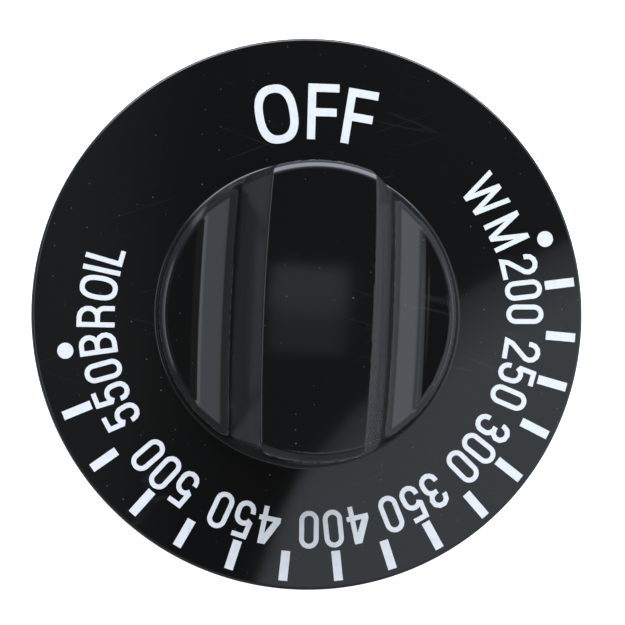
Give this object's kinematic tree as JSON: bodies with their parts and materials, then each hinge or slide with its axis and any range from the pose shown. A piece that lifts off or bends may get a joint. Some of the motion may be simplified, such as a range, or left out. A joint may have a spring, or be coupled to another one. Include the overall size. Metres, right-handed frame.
{
  "type": "thermostat knob",
  "caption": "Round moulded oven dial with a drafted grip bar on a low hub, printed temperature scale, hollow back and D-shaped stem socket with a spring clip.",
  "frame": {"origin": "centre of the back rim, in the plane that meets the panel", "axes": "+Z along the stem's axis, out of the panel towards the user; +Y along the grip bar towards OFF"},
  "size_m": [0.0762, 0.0762, 0.02],
  "materials": {
    "moulded_phenolic": "high gloss, as moulded, black",
    "spring_steel": "bright rolled strip",
    "white_ink": "satin printed ink, cool white"
  },
  "bodies": {
    "root": {"dial_body": "moulded_phenolic", "spring_clip": "spring_steel", "printed_numbers": "white_ink", "printed_words": "white_ink", "printed_ticks": "white_ink"}
  },
  "joints": []
}
